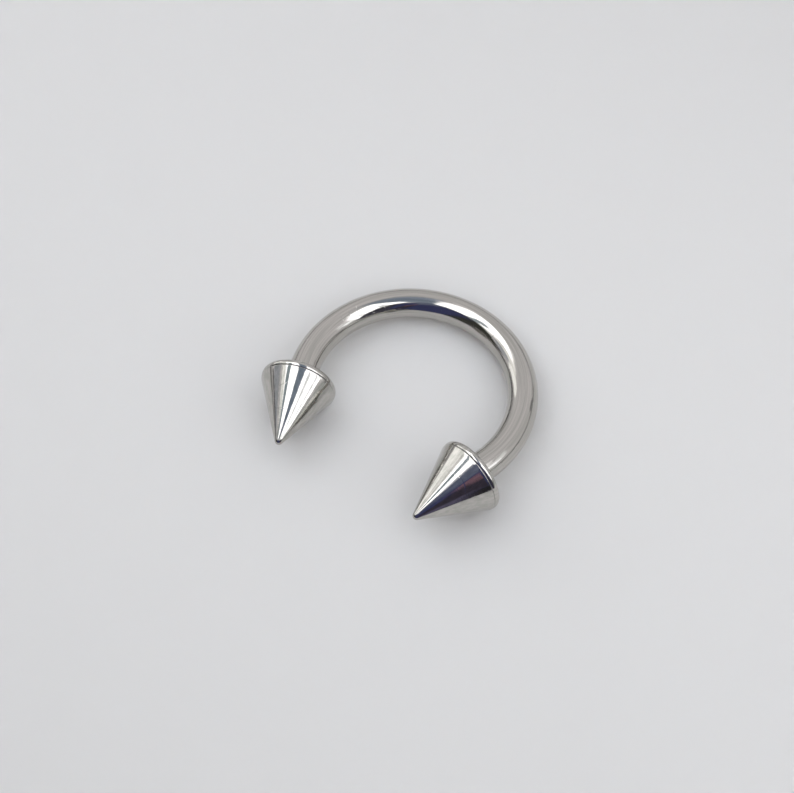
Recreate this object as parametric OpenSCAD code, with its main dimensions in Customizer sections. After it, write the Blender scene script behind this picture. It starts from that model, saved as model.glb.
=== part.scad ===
// Horseshoe barbell: an open ring of round steel bar with a screw-on cone spike at each end.
// It lies on a flat surface, back of the ring towards +Y, on the bar and on both spikes' rims.
// All sizes are in millimetres and degrees.

/* [Bar] */
// Thickness of the round bar
bar_d = 1.6; // [1.2:0.1:2.4]
// Clear width inside the ring
inner_d = 10; // [8:0.5:16]
// How far the bar bends round, from one straight end to the other
bend_turn = 215.4; // [190:0.2:240]
// Straight length of bar between the bend and each spike
straight_len = 0.9; // [0.4:0.1:2]
// How much slimmer the bend is than the straight ends, since drawn bar thins as it is bent
bend_slim = 0.01; // [0.01:0.01:0.04]

/* [Threaded ends] */
// Step from the bar's surface down to the thread crests, the ledge that the spike seats on
ledge_w = 0.08; // [0.06:0.01:0.12]
// Distance from one thread crest to the next
thread_pitch = 0.3; // [0.2:0.05:0.35]
// Depth of the thread grooves
thread_depth = 0.16; // [0.08:0.02:0.2]
// Width of the flat on top of each thread crest
crest_w = 0.05; // [0.03:0.01:0.08]
// Width of the flat at the bottom of each groove
root_w = 0.04; // [0.02:0.01:0.06]
// Plain neck between the ledge and the slope up to the first crest
neck_len = 0.08; // [0.04:0.01:0.2]
// Bevel round the free end of the thread
end_bevel = 0.14; // [0.06:0.01:0.16]

/* [Spikes] */
// Width of each spike at its base
spike_d = 4; // [3.4:0.1:6]
// Length of each spike from base to tip
spike_len = 4; // [3.6:0.1:8]
// Length of the band round the base, before the cone starts
band_len = 0.37; // [0.3:0.01:0.6]
// Radius of the rounded edge at the back of the band
band_edge_r = 0.23; // [0.1:0.01:0.28]
// Radius of the blunt tip
tip_r = 0.22; // [0.1:0.01:0.35]
// Least steel left between the end of the bore and the cone's surface
bore_wall = 0.3; // [0.2:0.02:0.4]
// Full angle of the drilled end of the bore
drill_angle = 118; // [90:1:140]

/* [Fit] */
// Gap all round between the thread crests and the bore
thread_gap = 0.03; // [0.02:0.01:0.06]
// Gap between the ledge and the spike's base
seat_gap = 0.02; // [0.01:0.01:0.04]
// Free depth of bore past the end of the thread
bore_room = 0.15; // [0.1:0.01:0.3]

/* [Hidden] */
$fn = 96;
steel = [0.74, 0.74, 0.76];

bar_r = bar_d / 2;
bend_r = bar_r - bend_slim / 2;
ring_r = inner_d / 2 + bend_r;
half_turn = bend_turn / 2;

// The straight ends reach back round the bend while it still lies wholly inside them.
lap = sqrt(ring_r * bend_slim) / 2;

crest_r = bar_r - ledge_w;
root_r = crest_r - thread_depth;
bore_r = crest_r + thread_gap;

// Cone flank: a line from the band's edge, touching the ball of the blunt tip.
base_r = spike_d / 2;
cone_run = spike_len - band_len - tip_r;
flank_angle = acos(tip_r / norm([base_r, cone_run])) - atan2(cone_run, base_r);

// The bore stops where its corner is one wall away from the flank.
bore_depth = band_len + ((base_r - bore_r) * cos(flank_angle) - bore_wall) / sin(flank_angle);
drill_point = bore_r / tan(drill_angle / 2);
post_len = seat_gap + bore_depth - bore_room;

// Whole threads that fit between the neck's slope and the bevel.
thread_start = neck_len + thread_depth;
thread_count = floor((post_len - thread_start - end_bevel) / thread_pitch);
groove_w = thread_pitch - crest_w;
groove_slope = (groove_w - root_w) / 2;

// Where a spike's base lies in the plane of the ring, forward of the ring's centre.
rise = sin(half_turn);
base_y = ring_r * cos(half_turn) - rise * (straight_len + seat_gap);

// Tilt at which the back of the bar and both rims touch the surface together.
reach = ring_r - base_y + band_edge_r * rise;
rim_r = base_r - band_edge_r;
drop = band_edge_r - bend_r;
spread = reach * reach + rim_r * rim_r * rise * rise;
inner_term = reach * reach * drop * drop - spread * (drop * drop - rim_r * rim_r);
rest_tilt = asin((reach * drop + sqrt(inner_term)) / spread);
rest_lift = ring_r * sin(rest_tilt) + bend_r;

// Middle of the part from back to front.
back_y = ring_r * cos(rest_tilt) + bend_r;
front_y = (base_y - rise * (spike_len - tip_r)) * cos(rest_tilt) - tip_r;
mid_y = (back_y + front_y) / 2;

// Lays the ring down as it rests, centred over the origin.
module lie_down() {
    translate([0, -mid_y, rest_lift])
        rotate([-rest_tilt, 0, 0])
            children();
}

// Puts children at one end of the bend, with their +Z pointing out of the bar's end.
module at_right_end() {
    rotate([0, 0, -half_turn])
        translate([0, ring_r, 0])
            rotate([0, 90, 0])
                children();
}

module at_left_end() {
    rotate([0, 0, half_turn])
        translate([0, ring_r, 0])
            rotate([0, -90, 0])
                children();
}

// One groove of the thread, as a notch in the outline of the post.
function groove(start) = [
    [crest_r, start],
    [root_r, start + groove_slope],
    [root_r, start + groove_slope + root_w],
    [crest_r, start + groove_w]
];

function grooves(start) = [
    for (i = [0 : thread_count - 1])
        for (p = groove(start + i * thread_pitch + crest_w)) p
];

// Straight end of the bar with its threaded post, turned as one piece.
module threaded_end() {
    crest_start = straight_len + thread_start;
    post_end = straight_len + post_len;
    rotate_extrude()
        polygon(concat(
            [
                [0, -lap],
                [bar_r, -lap],
                [bar_r, straight_len],
                [root_r, straight_len],
                [root_r, straight_len + neck_len],
                [crest_r, crest_start]
            ],
            grooves(crest_start),
            [
                [crest_r, post_end - end_bevel],
                [crest_r - end_bevel, post_end],
                [0, post_end]
            ]
        ));
}

// The seam of the bar's round section runs along the top of the ring.
module bend() {
    rotate([0, 0, 90 - half_turn])
        rotate_extrude(angle = bend_turn)
            translate([ring_r, 0])
                rotate([0, 0, 90])
                    circle(r = bend_r);
}

// Half outline of a spike: rounded band, straight flank, blunt tip.
module spike_outline() {
    flank_end = [tip_r * cos(flank_angle), spike_len - tip_r + tip_r * sin(flank_angle)];
    difference() {
        union() {
            polygon([
                [0, 0],
                [rim_r, 0],
                [base_r, band_edge_r],
                [base_r, band_len],
                flank_end,
                [0, flank_end[1]]
            ]);
            translate([rim_r, band_edge_r])
                circle(r = band_edge_r);
            translate([0, spike_len - tip_r])
                circle(r = tip_r);
        }
        translate([-spike_d, 0])
            square([spike_d, spike_len + tip_r]);
    }
}

module bore_outline() {
    polygon([
        [0, -seat_gap],
        [bore_r, -seat_gap],
        [bore_r, bore_depth],
        [0, bore_depth + drill_point]
    ]);
}

module spike() {
    translate([0, 0, straight_len + seat_gap])
        rotate_extrude()
            difference() {
                spike_outline();
                bore_outline();
            }
}

module curved_bar() {
    color(steel)
        lie_down()
            union() {
                bend();
                at_right_end()
                    threaded_end();
                at_left_end()
                    threaded_end();
            }
}

module left_spike() {
    color(steel)
        lie_down()
            at_left_end()
                spike();
}

module right_spike() {
    color(steel)
        lie_down()
            at_right_end()
                spike();
}

curved_bar();
left_spike();
right_spike();
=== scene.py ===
import math

import bmesh
import bpy
from mathutils import Matrix, Vector


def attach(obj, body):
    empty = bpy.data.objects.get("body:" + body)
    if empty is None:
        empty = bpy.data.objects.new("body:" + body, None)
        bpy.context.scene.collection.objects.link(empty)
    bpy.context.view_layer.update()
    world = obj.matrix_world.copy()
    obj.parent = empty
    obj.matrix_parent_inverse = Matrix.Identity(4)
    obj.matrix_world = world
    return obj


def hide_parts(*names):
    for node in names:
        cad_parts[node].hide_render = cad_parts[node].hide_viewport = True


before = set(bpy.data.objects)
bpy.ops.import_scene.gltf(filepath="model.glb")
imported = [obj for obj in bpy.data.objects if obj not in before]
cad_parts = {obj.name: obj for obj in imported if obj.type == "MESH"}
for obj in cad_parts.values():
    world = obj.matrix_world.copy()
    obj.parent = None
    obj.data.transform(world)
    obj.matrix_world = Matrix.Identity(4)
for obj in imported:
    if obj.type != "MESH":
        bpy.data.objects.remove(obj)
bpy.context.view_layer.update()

# Sizes are in millimetres, and Blender's own unit is the metre.
MM = 0.001

# Curved bar: one length of round surgical steel rod, bent to an open ring and polished along its length.
# Each end is turned down to a fine threaded post, and the spike screws up against the ledge behind it.
bar_radius = 0.8
bend_radius = 0.795
ring_radius = 5.795
half_turn = math.radians(107.7)
straight_length = 0.9
bend_blend = 0.25
post_length = 2.0163
thread_pitch = 0.3
crest_radius = 0.72
root_radius = 0.56
crest_width = 0.05
root_width = 0.04
flank_width = (thread_pitch - crest_width - root_width) / 2
neck_length = 0.08
thread_runout = 0.16
post_bevel = 0.14
edge_round = 0.02
sharp_edge = 38

# The ring leans forward a little, since the spikes' rims hold its ends up off the surface.
rest_tilt = math.radians(7.9033)
ring_lift = 1.5918
ring_back = -0.0674
lying = Matrix.Translation((0, ring_back, ring_lift)) @ Matrix.Rotation(-rest_tilt, 4, "X")


def arc(centre_along, centre_out, radius, start, stop, steps):
    """Points of a rounded edge as (along, out), with angles in degrees from the outward direction."""
    points = []
    for i in range(steps + 1):
        angle = math.radians(start + (stop - start) * i / steps)
        points.append((centre_along + radius * math.sin(angle), centre_out + radius * math.cos(angle)))
    return points


def new_piece(name, rings, unrolled):
    """Skins a tube over rings of points and closes its ends. Each point keeps its unrolled place."""
    mesh = bmesh.new()
    layer = mesh.verts.layers.float_vector.new("unrolled")
    rows = []
    for ring, places in zip(rings, unrolled):
        row = []
        for point, place in zip(ring, places):
            vert = mesh.verts.new(Vector(point) * MM)
            vert[layer] = place
            row.append(vert)
        rows.append(row)
    for lower, upper in zip(rows, rows[1:]):
        count = len(lower)
        for i in range(count):
            j = (i + 1) % count
            mesh.faces.new((lower[i], lower[j], upper[j], upper[i]))
    for row in (rows[0], rows[-1]):
        centre = mesh.verts.new(sum((v.co for v in row), Vector()) / len(row))
        centre[layer] = sum((v[layer] for v in row), Vector()) / len(row)
        for i, vert in enumerate(row):
            after = row[(i + 1) % len(row)]
            mesh.faces.new((centre, after, vert) if row is rows[0] else (centre, vert, after))
    bmesh.ops.remove_doubles(mesh, verts=mesh.verts, dist=1e-9)
    bmesh.ops.recalc_face_normals(mesh, faces=mesh.faces)
    for face in mesh.faces:
        face.smooth = True
    data = bpy.data.meshes.new(name)
    mesh.to_mesh(data)
    mesh.free()
    data.set_sharp_from_angle(angle=math.radians(sharp_edge))
    piece = bpy.data.objects.new(name, data)
    bpy.context.scene.collection.objects.link(piece)
    return piece


def thread_height(place):
    """Share of the thread's depth at a place along one pitch, from 0 at the root to 1 on the crest."""
    place = place % thread_pitch
    if place < crest_width:
        return 1.0
    if place < crest_width + flank_width:
        return 1 - (place - crest_width) / flank_width
    if place < crest_width + flank_width + root_width:
        return 0.0
    return (place - crest_width - flank_width - root_width) / flank_width


def ring_points(foot, direction, outward, levels, radii):
    """One ring of points round a straight axis, each at its own level along it and its own radius."""
    points = []
    for i, (level, radius) in enumerate(zip(levels, radii)):
        turn = 2 * math.pi * i / len(radii)
        across = outward * math.cos(turn) + Vector((0, 0, 1)) * math.sin(turn)
        points.append(lying @ (foot + direction * level + across * radius))
    return points


def ring_places(levels, radii):
    """Unrolled place of each point of a ring: how far along the piece it is, and where round it."""
    places = []
    for i, (level, radius) in enumerate(zip(levels, radii)):
        turn = 2 * math.pi * i / len(radii)
        places.append((level, radius * math.cos(turn), radius * math.sin(turn)))
    return places


def post_rows(count):
    """Distance along the post for each point round each row. The rows of the thread follow its helix."""
    rows = []
    steps = 4
    root_end = crest_width + flank_width + root_width
    breaks = [0, crest_width]
    breaks += [crest_width + flank_width * k / steps for k in range(1, steps + 1)]
    breaks += [root_end]
    breaks += [root_end + flank_width * k / steps for k in range(1, steps)]
    pitches = int((post_length - neck_length) / thread_pitch) + 2
    for turn in range(-1, pitches):
        for step in breaks:
            level = neck_length + turn * thread_pitch + step
            rows.append([level + thread_pitch * i / count for i in range(count)])
    return rows


around = 120
bend_steps = 180
straight_rows = (0.1, 0.3, 0.5, 0.7)
ledge_rows = (0.7, 0.62, root_radius)
post_end_rows = (0.45, 0.3, 0.15)
half_bend = ring_radius * half_turn
bar_rings, bar_unrolled = [], []
for end in (-1, 1):
    direction = Vector((end * math.cos(half_turn), -math.sin(half_turn), 0))
    outward = Vector((end * math.sin(half_turn), math.cos(half_turn), 0))
    rows = []
    edge_start = straight_length - edge_round
    for level in (*straight_rows, edge_start):
        rows.append(([level] * around, [bar_radius] * around))
    for level, radius in arc(edge_start, bar_radius - edge_round, edge_round, start=15, stop=90, steps=5):
        rows.append(([level] * around, [radius] * around))
    for radius in ledge_rows:
        rows.append(([straight_length] * around, [radius] * around))
    for row in post_rows(around):
        levels, radii = [], []
        for i, level in enumerate(row):
            height = thread_height(level - neck_length - thread_pitch * i / around)
            height *= min(1.0, max(0.0, (level - neck_length) / thread_runout))
            level = min(max(level, neck_length), post_length)
            most = crest_radius - max(0.0, level - (post_length - post_bevel))
            radii.append(min(most, root_radius + (crest_radius - root_radius) * height))
            levels.append(straight_length + level)
        rows.append((levels, radii))
    for radius in post_end_rows:
        rows.append(([straight_length + post_length] * around, [radius] * around))
    if end < 0:
        rows.reverse()
    else:
        for step in range(bend_steps + 1):
            angle = half_turn * (2 * step / bend_steps - 1)
            out = Vector((math.sin(angle), math.cos(angle), 0))
            swell = max(0.0, 1 - (half_turn - abs(angle)) * ring_radius / bend_blend)
            radii = [bend_radius + (bar_radius - bend_radius) * swell] * around
            bar_rings.append(ring_points(out * ring_radius, out, out, [0] * around, radii))
            bar_unrolled.append(ring_places([ring_radius * angle] * around, radii))
    for levels, radii in rows:
        bar_rings.append(ring_points(outward * ring_radius, direction, outward, levels, radii))
        bar_unrolled.append(ring_places([end * (half_bend + level) for level in levels], radii))

bar = new_piece("bent_bar", bar_rings, bar_unrolled)


def value_node(tree, operation, first, second=None, third=None):
    """Output of one Math node. Numbers are set on its sockets and outputs are linked to them."""
    node = tree.nodes.new("ShaderNodeMath")
    node.operation = operation
    for socket, value in zip(node.inputs, (first, second, third)):
        if value is None:
            continue
        if isinstance(value, (int, float)):
            socket.default_value = value
        else:
            tree.links.new(value, socket)
    return node.outputs[0]


def new_group(name, inputs, outputs):
    """An empty shader node group with its named sockets, and the nodes for what comes in and goes out."""
    group = bpy.data.node_groups.new(name, "ShaderNodeTree")
    for label, value in inputs:
        kind = "NodeSocketVector" if value is None else "NodeSocketFloat"
        socket = group.interface.new_socket(name=label, in_out="INPUT", socket_type=kind)
        if value is not None:
            socket.default_value = value
    for label in outputs:
        group.interface.new_socket(name=label, in_out="OUTPUT", socket_type="NodeSocketFloat")
    return group, group.nodes.new("NodeGroupInput"), group.nodes.new("NodeGroupOutput")


def stretched_noise(tree, place, along, round_, detail):
    """Soft noise over the unrolled surface, with its own fineness along the piece and round it."""
    stretch = tree.nodes.new("ShaderNodeCombineXYZ")
    for socket, value in zip(stretch.inputs, (along, round_, round_)):
        if isinstance(value, (int, float)):
            socket.default_value = value
        else:
            tree.links.new(value, socket)
    scaled = tree.nodes.new("ShaderNodeVectorMath")
    scaled.operation = "MULTIPLY"
    tree.links.new(place, scaled.inputs[0])
    tree.links.new(stretch.outputs[0], scaled.inputs[1])
    noise = tree.nodes.new("ShaderNodeTexNoise")
    noise.inputs["Scale"].default_value = 1.0
    noise.inputs["Detail"].default_value = detail
    noise.inputs["Roughness"].default_value = 0.6
    tree.links.new(scaled.outputs[0], noise.inputs["Vector"])
    return noise.outputs["Fac"]


def polish_group():
    """Long thin lines one way, left by polishing or turning, as a mask and a height in millimetres."""
    inputs = (("Unrolled", None), ("Along", 1.0), ("Around", 1.0), ("Depth", 0.001))
    group, given, result = new_group("polish_lines", inputs, ("Height", "Lines"))
    unrolled, along, round_, depth = (given.outputs[label] for label, _ in inputs)
    lines = stretched_noise(group, unrolled, along, round_, detail=3.0)
    group.links.new(value_node(group, "MULTIPLY", lines, depth), result.inputs["Height"])
    group.links.new(lines, result.inputs["Lines"])
    return group


def wear_group():
    """A few hairline scratches as a height in millimetres, and faint smudges as a mask."""
    inputs = (("Unrolled", None), ("Fineness", 1.0), ("Depth", 0.001))
    group, given, result = new_group("handling_wear", inputs, ("Height", "Smudge"))
    place, fineness = given.outputs["Unrolled"], given.outputs["Fineness"]
    coarseness, hair_width = 0.45, 0.006
    slow = value_node(group, "MULTIPLY", fineness, coarseness)
    drift = stretched_noise(group, place, fineness, slow, detail=1.0)
    middle = value_node(group, "ABSOLUTE", value_node(group, "SUBTRACT", drift, 0.5))
    hair = value_node(group, "SUBTRACT", 1.0, value_node(group, "DIVIDE", middle, hair_width))
    hair = value_node(group, "MAXIMUM", hair, 0.0)
    patches = stretched_noise(group, place, slow, fineness, detail=2.0)
    broken = group.nodes.new("ShaderNodeMapRange")
    broken.inputs["From Min"].default_value = 0.52
    broken.inputs["From Max"].default_value = 0.60
    group.links.new(patches, broken.inputs["Value"])
    scratch = value_node(group, "MULTIPLY", hair, broken.outputs["Result"])
    depth = value_node(group, "MULTIPLY", given.outputs["Depth"], -1.0)
    group.links.new(value_node(group, "MULTIPLY", scratch, depth), result.inputs["Height"])
    smudge = group.nodes.new("ShaderNodeMapRange")
    smudge.interpolation_type = "SMOOTHSTEP"
    smudge.inputs["From Min"].default_value = 0.45
    smudge.inputs["From Max"].default_value = 0.70
    group.links.new(stretched_noise(group, place, slow, slow, detail=4.0), smudge.inputs["Value"])
    group.links.new(smudge.outputs["Result"], result.inputs["Smudge"])
    return group


polish_lines = polish_group()
handling_wear = wear_group()


def placed(tree, group, place, values):
    """Places a node group in a material with that material's own values."""
    node = tree.nodes.new("ShaderNodeGroup")
    node.node_tree = group
    tree.links.new(place, node.inputs["Unrolled"])
    for label, value in values.items():
        node.inputs[label].default_value = value
    return node


# How much the steel varies from line to line, what smudges do to it, and the painted shade and nick.
dark_lines = (0.90, 0.91, 0.90)
light_lines = (1.09, 1.07, 1.08)
roughness_spread = 0.4
smudge_roughness = 0.05
shade_and_wear_roughness = 0.3
# Dark colour of the painted shade in grooves and creases, and of the nick.
shade_and_wear_colour = (0.16, 0.155, 0.15)


def steel(name, colour, roughness, fine, broad, wear, shade_and_wear):
    """Polished steel. Its marks run the way that the piece was polished, and a mask darkens it with
    painted shade and wear.
    """
    material = bpy.data.materials.new(name)
    material.use_nodes = True
    tree = material.node_tree
    shader = tree.nodes["Principled BSDF"]
    shader.inputs["Metallic"].default_value = 1.0
    unrolled = tree.nodes.new("ShaderNodeAttribute")
    unrolled.attribute_name = "unrolled"
    place = unrolled.outputs["Vector"]
    fine_marks = placed(tree, polish_lines, place, fine)
    broad_marks = placed(tree, polish_lines, place, broad)
    worn = placed(tree, handling_wear, place, wear)
    height = value_node(tree, "ADD", fine_marks.outputs["Height"], broad_marks.outputs["Height"])
    height = value_node(tree, "ADD", height, worn.outputs["Height"])
    bump = tree.nodes.new("ShaderNodeBump")
    bump.inputs["Strength"].default_value = 1.0
    bump.inputs["Distance"].default_value = MM
    tree.links.new(height, bump.inputs["Height"])
    tree.links.new(bump.outputs["Normal"], shader.inputs["Normal"])
    spread = tree.nodes.new("ShaderNodeMapRange")
    spread.inputs["From Min"].default_value = 0.35
    spread.inputs["From Max"].default_value = 0.65
    spread.inputs["To Min"].default_value = roughness * (1 - roughness_spread)
    spread.inputs["To Max"].default_value = roughness * (1 + roughness_spread)
    tree.links.new(fine_marks.outputs["Lines"], spread.inputs["Value"])
    dull = value_node(tree, "MULTIPLY", worn.outputs["Smudge"], smudge_roughness)
    rough = value_node(tree, "ADD", spread.outputs["Result"], dull)
    shade_and_wear_mask = shade_and_wear(tree, place)
    rough = value_node(tree, "ADD", rough, value_node(tree, "MULTIPLY", shade_and_wear_mask, shade_and_wear_roughness))
    tree.links.new(rough, shader.inputs["Roughness"])
    tint = tree.nodes.new("ShaderNodeValToRGB")
    shares = (dark_lines, light_lines)
    for stop, position, share in zip(tint.color_ramp.elements, (0.40, 0.62), shares):
        stop.position = position
        stop.color = (*[c * s for c, s in zip(colour, share)], 1)
    tree.links.new(fine_marks.outputs["Lines"], tint.inputs["Fac"])
    # Mixes the steel towards the dark colour under the mask: painted shade, and the nick on the bar.
    shade_and_wear_mix = tree.nodes.new("ShaderNodeMix")
    shade_and_wear_mix.data_type = "RGBA"
    shade_and_wear_mix.inputs["B"].default_value = (*shade_and_wear_colour, 1)
    tree.links.new(shade_and_wear_mask, shade_and_wear_mix.inputs["Factor"])
    tree.links.new(tint.outputs["Color"], shade_and_wear_mix.inputs["A"])
    tree.links.new(shade_and_wear_mix.outputs["Result"], shader.inputs["Base Color"])
    return material


def band_mask(tree, value, none_at, most_at, most):
    """A mask that grows softly from nothing at the first value to its most at the second."""
    band = tree.nodes.new("ShaderNodeMapRange")
    band.interpolation_type = "SMOOTHSTEP"
    band.inputs["From Min"].default_value = none_at
    band.inputs["From Max"].default_value = most_at
    band.inputs["To Max"].default_value = most
    tree.links.new(value, band.inputs["Value"])
    return band.outputs["Result"]


def from_point(tree, place, point, reach):
    """Distance of each place from a point, in steps of its reach each way. A reach of 0 isn't counted."""
    apart = tree.nodes.new("ShaderNodeVectorMath")
    apart.operation = "SUBTRACT"
    apart.inputs[1].default_value = point
    tree.links.new(place, apart.inputs[0])
    scaled = tree.nodes.new("ShaderNodeVectorMath")
    scaled.operation = "MULTIPLY"
    scaled.inputs[1].default_value = [1 / r if r else 0 for r in reach]
    tree.links.new(apart.outputs[0], scaled.inputs[0])
    length = tree.nodes.new("ShaderNodeVectorMath")
    length.operation = "LENGTH"
    tree.links.new(scaled.outputs[0], length.inputs[0])
    return length.outputs["Value"]


# The bar has one small dark nick, on its outer side near the right end.
nick_place = (7.12, 0.456, 0.651)
nick_reach = (0.5, 0.09, 0.09)


def bar_shade_and_nick(tree, place):
    """Painted shade in the thread's grooves, and the dark line of the nick."""
    radius = from_point(tree, place, (0, 0, 0), (0, 1, 1))
    # Painted shade darkens the thread's grooves.
    groove_shade = band_mask(tree, radius, crest_radius, root_radius, most=0.5)
    from_nick = from_point(tree, place, nick_place, nick_reach)
    nick = band_mask(tree, from_nick, none_at=1.0, most_at=0.5, most=0.85)
    return value_node(tree, "MAXIMUM", groove_shade, nick)


bar_steel = steel(
    "bar_steel_polished",
    colour=(0.512, 0.497, 0.463),
    roughness=0.08,
    fine={"Along": 0.22, "Around": 8.0, "Depth": 0.003},
    broad={"Along": 0.45, "Around": 1.6, "Depth": 0.006},
    wear={"Fineness": 0.9, "Depth": 0.002},
    shade_and_wear=bar_shade_and_nick,
)
bar.data.materials.append(bar_steel)
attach(bar, "curved_bar")
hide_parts("curved_bar")


# Screw-on spikes: two short cones turned from steel rod and buffed bright, each with a narrow round-edged
# band. A blind hole is drilled and tapped in the flat base, and the tip is left a little blunt.
spike_radius = 2.0
spike_length = 4.0
band_length = 0.37
band_edge = 0.23
bead_turn = 38
crease_middle = 0.388
crease_depth = 0.07
shoulder = 0.425
shoulder_round = 0.03
tip_radius = 0.22
bore_radius = 0.75
bore_depth = 2.1463
bore_point = 0.4507
seat_gap = 0.02
mouth_bevel = 0.05
tapped_depth = 0.05
tapping_end = 0.25
tapping_fade = 0.2
mouth_fade = 0.05
bevel_squeeze = 0.004
plain_end = 0.1
point_rows = (0.2, 0.6, 1.0)

cone_run = spike_length - band_length - tip_radius
to_rim = math.hypot(spike_radius, cone_run)
flank_angle = math.acos(tip_radius / to_rim) - math.atan2(cone_run, spike_radius)
spike_around = 192
base_steps = 6
flank_steps = 28
rim_step = 0.002


def spike_outline():
    """Half outline of the spike as (along, out), from the bore's mouth round the band to the tip."""
    lean = math.degrees(flank_angle)
    mouth = bore_radius + mouth_bevel
    rim = spike_radius - band_edge
    base_width = rim - rim_step - mouth
    points = [(0.0, mouth + base_width * k / base_steps) for k in range(base_steps + 1)]
    points += arc(band_edge, rim, band_edge, start=-90, stop=bead_turn, steps=22)
    points.append((crease_middle, spike_radius - crease_depth))
    shoulder_out = spike_radius - (shoulder - band_length) * math.tan(flank_angle)
    shoulder_out -= shoulder_round / math.cos(flank_angle)
    points += arc(shoulder, shoulder_out, shoulder_round, start=-80, stop=lean, steps=7)
    foot = Vector(points[-1])
    ball = spike_length - tip_radius
    top = Vector((ball + tip_radius * math.sin(flank_angle), tip_radius * math.cos(flank_angle)))
    points += [tuple(foot.lerp(top, k / flank_steps)) for k in range(1, flank_steps)]
    points += arc(ball, 0, tip_radius, start=lean, stop=86, steps=12)
    return points


def tapping_rows():
    """Level of each row of the tapping, from deep in the hole out to its mouth."""
    steps = 10
    rows = []
    for turn in range(int(bore_depth / thread_pitch) + 1):
        for step in range(steps):
            rows.append(turn * thread_pitch + thread_pitch * step / steps)
    return [level for level in reversed(rows) if level < bore_depth - tapping_fade]


# Places on the unrolled surface where the spike's side, its flat base and its bore start. The base is
# stretched outwards and drawn thin, so that the marks on it are rings.
side_start, base_start, bore_start = 10, 20, 80
base_stretch = 24
base_thinness = 0.05


def spike_crease_shade(tree, place):
    """Painted shade along the crease between the band and the cone."""
    parts = tree.nodes.new("ShaderNodeSeparateXYZ")
    tree.links.new(place, parts.inputs[0])
    level = value_node(tree, "ABSOLUTE", parts.outputs["X"])
    off = value_node(tree, "SUBTRACT", level, side_start + crease_middle)
    off = value_node(tree, "ABSOLUTE", off)
    # Painted shade: a thin dark line along the crease.
    return band_mask(tree, off, none_at=0.028, most_at=0.008, most=0.8)


spike_steel = steel(
    "spike_steel_turned",
    colour=(0.512, 0.501, 0.467),
    roughness=0.035,
    fine={"Along": 0.25, "Around": 5.0, "Depth": 0.0012},
    broad={"Along": 13.0, "Around": 0.4, "Depth": 0.0006},
    wear={"Fineness": 0.7, "Depth": 0.0012},
    shade_and_wear=spike_crease_shade,
)
for name, node, end in (("left_cone", "left_spike", -1), ("right_cone", "right_spike", 1)):
    direction = Vector((end * math.cos(half_turn), -math.sin(half_turn), 0))
    outward = Vector((end * math.sin(half_turn), math.cos(half_turn), 0))
    base = outward * ring_radius + direction * (straight_length + seat_gap)
    rows = []
    for share in point_rows:
        level = bore_depth + bore_point * (1 - share)
        rows.append(([level] * spike_around, [bore_radius * share] * spike_around))
    rows.append(([bore_depth - plain_end] * spike_around, [bore_radius] * spike_around))
    for level in tapping_rows():
        levels, radii = [], []
        for i in range(spike_around):
            helix = level + thread_pitch * i / spike_around
            from_end = (bore_depth - tapping_end - helix) / tapping_fade
            from_mouth = (helix - mouth_bevel) / mouth_fade
            fade = min(1.0, max(0.0, from_end), max(0.0, from_mouth))
            # The rows that would pass the bevel lie close together just inside it.
            levels.append(max(helix, mouth_bevel + bevel_squeeze * level))
            radii.append(bore_radius + tapped_depth * thread_height(level) * fade)
        rows.append((levels, radii))
    rows.append(([mouth_bevel] * spike_around, [bore_radius] * spike_around))
    bore_count = len(rows)
    for level, radius in spike_outline():
        rows.append(([level] * spike_around, [radius] * spike_around))
    rings, unrolled = [], []
    for number, (levels, radii) in enumerate(rows):
        rings.append(ring_points(base, direction, outward, levels, radii))
        if bore_count <= number <= bore_count + base_steps:
            along = [end * (base_start + base_stretch * radius) for radius in radii]
            unrolled.append(ring_places(along, [base_thinness] * spike_around))
        else:
            start = bore_start if number < bore_count else side_start
            unrolled.append(ring_places([end * (start + level) for level in levels], radii))
    spike = new_piece(name, rings, unrolled)
    spike.data.materials.append(spike_steel)
    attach(spike, node)
    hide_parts(node)


# Floor: a plain pale slab, matt enough to mirror nothing, that runs well past the picture.
# It lies level just under the bar and the spikes' rims.
floor_half = 1.0
floor_mesh = bpy.data.meshes.new("pale_floor")
floor_corners = [(x * floor_half, y * floor_half, 0) for x, y in ((-1, -1), (1, -1), (1, 1), (-1, 1))]
floor_mesh.from_pydata(floor_corners, [], [(0, 1, 2, 3)])
floor = bpy.data.objects.new("pale_floor", floor_mesh)
bpy.context.scene.collection.objects.link(floor)
floor_material = bpy.data.materials.new("pale_stone")
floor_material.use_nodes = True
floor_shader = floor_material.node_tree.nodes["Principled BSDF"]
floor_shader.subsurface_method = "BURLEY"
floor_shader.inputs["Base Color"].default_value = (0.505, 0.505, 0.498, 1)
floor_shader.inputs["Roughness"].default_value = 0.7
floor_shader.inputs["Specular IOR Level"].default_value = 0.2
floor_shader.inputs["Subsurface Weight"].default_value = 1.0
floor_shader.inputs["Subsurface Radius"].default_value = (1.0, 0.92, 0.84)
floor_shader.inputs["Subsurface Scale"].default_value = 3.5 * MM
floor_mesh.materials.append(floor_material)


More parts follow.
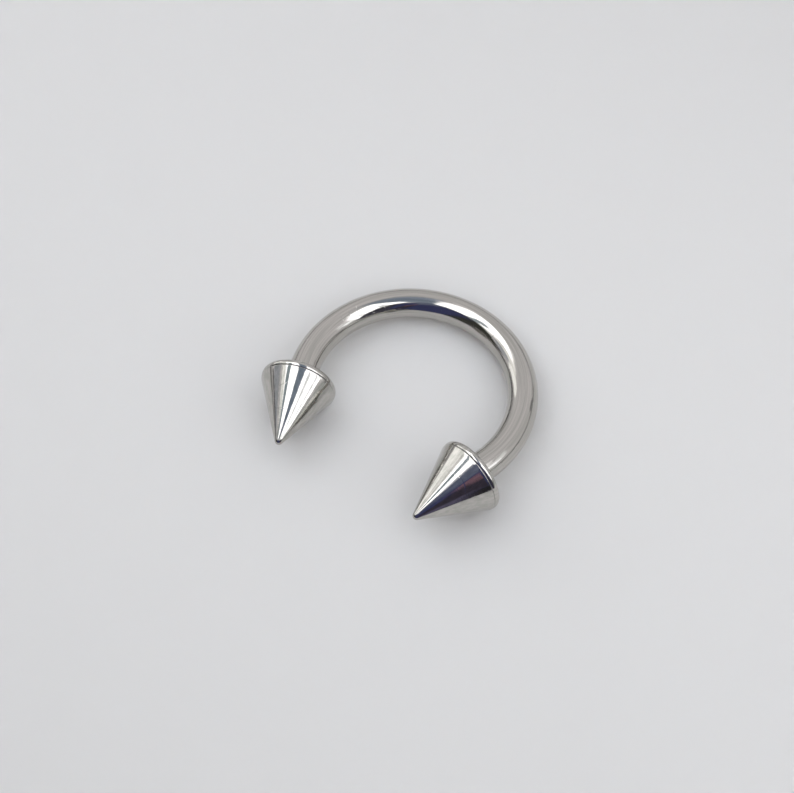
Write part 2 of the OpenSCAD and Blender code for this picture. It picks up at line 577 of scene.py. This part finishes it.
# Camera: it looks down on the ring from in front and to its right, a little rolled, and close enough for
# the near spike to look larger than the far one.
azimuth = math.radians(37.8737)
elevation = math.radians(62.1838)
roll = math.radians(-7.2318)
distance = 70.2717
sideways, upwards = -0.857, 0.4117
back_level = Vector((math.sin(azimuth), -math.cos(azimuth), 0))
back = back_level * math.cos(elevation) + Vector((0, 0, math.sin(elevation)))
level_right = Vector((math.cos(azimuth), math.sin(azimuth), 0))
level_up = back.cross(level_right)
right = level_right * math.cos(roll) + level_up * math.sin(roll)
up = level_up * math.cos(roll) - level_right * math.sin(roll)
eye = back * distance + right * sideways + up * upwards + Vector((0, ring_back, 0))
lens = bpy.data.cameras.new("camera")
lens.sensor_width = 36
lens.lens = 59.91175
lens.clip_start = 0.002
lens.clip_end = 10
camera = bpy.data.objects.new("camera", lens)
camera.matrix_world = Matrix.Translation(eye * MM) @ Matrix((right, up, back)).transposed().to_4x4()
bpy.context.scene.collection.objects.link(camera)
bpy.context.scene.camera = camera


# Light: two white panels above and to each side of the camera, in a warm grey room.
# Dark and grey cards stand below and between the panels, so that the steel has something to mirror.
camera_axes = (eye, right, up)


def card(name, corners, colour, depth, lights_floor=False, axes=camera_axes):
    """A flat card that faces the object. Its depth is how far it stands behind the camera, and its corners
    are (right, up) from there, each with the softness of the side that starts at it."""
    start, across, upward = axes
    start = start + across.cross(upward) * depth
    count = len(corners)
    area = 0
    for (x, y, _), (next_x, next_y, _) in zip(corners, corners[1:] + corners[:1]):
        area += x * next_y - next_x * y
    if area < 0:
        corners = [(*corners[(-i) % count][:2], corners[(-i - 1) % count][2]) for i in range(count)]
    # Each side moved inwards by its softness bounds the middle, where the card is at its full strength.
    sides = []
    for (x, y, softness), (next_x, next_y, _) in zip(corners, corners[1:] + corners[:1]):
        run, rise = next_x - x, next_y - y
        length = math.hypot(run, rise)
        out_x, out_y = rise / length, -run / length
        sides.append((out_x, out_y, out_x * x + out_y * y - softness))
    inner = []
    for i in range(count):
        (a_x, a_y, a), (b_x, b_y, b) = sides[i - 1], sides[i]
        cross = a_x * b_y - a_y * b_x
        inner.append(((a * b_y - b * a_y) / cross, (b * a_x - a * b_x) / cross))
    mesh = bmesh.new()
    layer = mesh.verts.layers.float.new("cover")
    edge = [mesh.verts.new((start + across * x + upward * y) * MM) for x, y, _ in corners]
    middle = [mesh.verts.new((start + across * x + upward * y) * MM) for x, y in inner]
    for vert in middle:
        vert[layer] = 1.0
    for i in range(count):
        j = (i + 1) % count
        mesh.faces.new((edge[i], edge[j], middle[j], middle[i]))
    mesh.faces.new(middle)
    data = bpy.data.meshes.new(name)
    mesh.to_mesh(data)
    mesh.free()
    made = bpy.data.objects.new(name, data)
    bpy.context.scene.collection.objects.link(made)
    made.visible_camera = False
    made.visible_shadow = False
    made.visible_diffuse = lights_floor
    material = bpy.data.materials.new(name)
    material.use_nodes = True
    tree = material.node_tree
    tree.nodes.clear()
    output = tree.nodes.new("ShaderNodeOutputMaterial")
    glow = tree.nodes.new("ShaderNodeEmission")
    glow.inputs["Color"].default_value = (*colour, 1)
    clear = tree.nodes.new("ShaderNodeBsdfTransparent")
    cover = tree.nodes.new("ShaderNodeAttribute")
    cover.attribute_name = "cover"
    soft = tree.nodes.new("ShaderNodeMapRange")
    soft.interpolation_type = "SMOOTHSTEP"
    tree.links.new(cover.outputs["Fac"], soft.inputs["Value"])
    mix = tree.nodes.new("ShaderNodeMixShader")
    tree.links.new(soft.outputs["Result"], mix.inputs["Fac"])
    tree.links.new(clear.outputs[0], mix.inputs[1])
    tree.links.new(glow.outputs[0], mix.inputs[2])
    tree.links.new(mix.outputs[0], output.inputs["Surface"])
    data.materials.append(material)


white = (2.892, 2.909, 3.038)
card(
    "left_panel",
    [(-72, 28, 8), (-10, -4, 6), (-6, 125, 20), (-125, 155, 12)],
    colour=white, depth=0, lights_floor=True,
)
card(
    "right_panel",
    [(-12, 13, 3), (96, -38, 6), (97, -20, 8), (76, 20, 9), (39, 59, 12), (10, 60, 3)],
    colour=white, depth=0, lights_floor=True,
)
card(
    "right_glow",
    [(88, -14, 4), (112, -26, 6), (134, -18, 6), (124, 6, 6), (90, 10, 4)],
    colour=(1.807, 1.855, 1.937), depth=1, lights_floor=True,
)
card(
    "right_haze",
    [(78, 38, 6), (92, -30, 8), (146, -34, 10), (146, 14, 10), (112, 34, 10), (90, 46, 8)],
    colour=(1.108, 1.127, 1.165), depth=2, lights_floor=True,
)
card(
    "left_glow",
    [(-600, 420, 40), (-150, 62, 12), (-112, 38, 10), (-60, 24, 8),
     (-30, 120, 20), (-100, 190, 30), (-600, 620, 40)],
    colour=(1.325, 1.333, 1.329), depth=6, lights_floor=True,
)
card(
    "left_wall",
    [(-700, 60, 10), (-130, 45, 10), (-115, 85, 20), (-300, 300, 20), (-700, 300, 20)],
    colour=(0.446, 0.467, 0.519), depth=8,
)

# Narrow grey strips stand across the white panels.
card(
    "left_ledge",
    [(-130, 34, 4), (-130, 14, 4), (-45, 14, 4), (-60, 27, 4)],
    colour=(0.41, 0.436, 0.456), depth=-1,
)
card(
    "left_strip",
    [(-65, 20, 4), (-41, 16, 4), (-36, 66, 8), (-54, 66, 4)],
    colour=(0.386, 0.461, 0.519), depth=-1,
)
card(
    "outer_strip",
    [(-97, 29, 3), (-78, 28, 4), (-86, 70, 4), (-110, 90, 4)],
    colour=(1.325, 1.333, 1.329), depth=-1,
)
card(
    "upper_strip",
    [(-106, 58, 4), (-82, 62, 4), (-92, 92, 4), (-116, 90, 4)],
    colour=(0.843, 0.848, 0.848), depth=-1,
)
card(
    "right_strip",
    [(20, 14, 3), (31, 12, 3), (37, -22, 3), (26, -20, 3)],
    colour=(1.145, 1.188, 1.241), depth=-1,
)
card(
    "end_strip",
    [(55, 4, 3), (68, 2, 3), (73, -34, 3), (60, -30, 3)],
    colour=(1.265, 1.309, 1.367), depth=-1,
)

# Slate card behind the camera, and dark cloth below it that runs down towards the floor.
slate = (0.271, 0.327, 0.424)
card(
    "camera_card",
    [(-15, 4, 3), (5, 4, 3), (10, 9, 3), (22, 28, 4), (25, 60, 4), (20, 105, 50), (-4, 105, 3)],
    colour=slate, depth=-2,
)
card(
    "left_cloth",
    [(-600, 60, 6), (-150, 32, 5), (-40, 18, 6), (-8, 0, 6), (-50, -150, 40), (-600, -150, 40)],
    colour=(0.051, 0.052, 0.044), depth=-4,
)
card(
    "far_cloth",
    [(-2600, 640, 30), (-200, 44, 8), (-200, -150, 30), (-2600, -150, 40)],
    colour=(0.078, 0.079, 0.089), depth=-3,
)
card(
    "right_cloth",
    [(-45, -35, 4), (4, 4, 3), (60, -18, 3), (280, -130, 20), (280, -170, 40), (-45, -170, 40)],
    colour=(0.066, 0.063, 0.086), depth=-4,
)
card(
    "violet_cloth",
    [(-66, 16, 6), (-8, 8, 5), (8, 4, 5), (20, -11, 6),
     (34, -40, 12), (58, -150, 40), (-92, -150, 24)],
    colour=(0.06, 0.067, 0.165), depth=-5,
)
card(
    "slate_apron",
    [(-33, 15, 10), (-22, -4, 8), (-7, -15, 5), (0, -10, 5), (3, 6, 5), (-8, 14, 5)],
    colour=(0.157, 0.179, 0.272), depth=-7,
)
card(
    "shade_cloth",
    [(-3, -17, 3), (9, -21, 3), (38, -70, 6), (10, -70, 6), (0, -34, 5)],
    colour=(0.051, 0.044, 0.066), depth=-6,
)
card(
    "black_cloth",
    [(22, -62, 5), (50, -70, 5), (80, -140, 10), (34, -140, 4)],
    colour=(0.029, 0.028, 0.033), depth=-6,
)
card(
    "purple_strip",
    [(13, -48, 16), (19, -48, 3), (46, -116, 6), (24, -116, 4)],
    colour=(0.133, 0.121, 0.196), depth=-7,
)
card(
    "maroon_cloth",
    [(-3, -9, 2), (11, -25, 2), (10, -32, 3), (-5, -15, 3)],
    colour=(0.253, 0.145, 0.19), depth=-7,
)
card(
    "side_cloth",
    [(100, -25, 14), (320, -100, 30), (320, -200, 30), (100, -90, 40)],
    colour=(0.578, 0.594, 0.595), depth=-5,
)

# One more white panel stands upright far to the left.
far_axes = (Vector((-400, 0, 0)), Vector((0, 1, 0)), Vector((0, 0, 1)))
card(
    "far_panel",
    [(-80, 62, 18), (80, 55, 18), (150, 150, 30), (150, 240, 30), (-70, 250, 30)],
    colour=(1.566, 1.576, 1.57), depth=0, lights_floor=True, axes=far_axes,
)

# The room is warm grey all round and overhead, cooler and darker in front, and darkest at the horizon.
world = bpy.data.worlds.new("room")
bpy.context.scene.world = world
world.use_nodes = True
room = world.node_tree
facing = room.nodes.new("ShaderNodeTexCoord")
parts = room.nodes.new("ShaderNodeSeparateXYZ")
room.links.new(facing.outputs["Generated"], parts.inputs[0])
front = room.nodes.new("ShaderNodeMapRange")
front.interpolation_type = "SMOOTHSTEP"
front.inputs["From Min"].default_value = -0.75
front.inputs["From Max"].default_value = -0.35
room.links.new(parts.outputs["Y"], front.inputs["Value"])
shade = room.nodes.new("ShaderNodeMix")
shade.data_type = "RGBA"
shade.inputs["A"].default_value = (0.301, 0.315, 0.38, 1)
shade.inputs["B"].default_value = (0.723, 0.715, 0.734, 1)
room.links.new(front.outputs["Result"], shade.inputs["Factor"])
room.links.new(shade.outputs["Result"], room.nodes["Background"].inputs["Color"])
horizon = room.nodes.new("ShaderNodeMapRange")
horizon.interpolation_type = "SMOOTHSTEP"
horizon.inputs["From Max"].default_value = 0.22
horizon.inputs["To Min"].default_value = 0.4
room.links.new(parts.outputs["Z"], horizon.inputs["Value"])
room.links.new(horizon.outputs["Result"], room.nodes["Background"].inputs["Strength"])

# Colours are shown as they come, with no film look laid over them.
bpy.context.scene.view_settings.view_transform = "Standard"
bpy.context.scene.view_settings.look = "None"
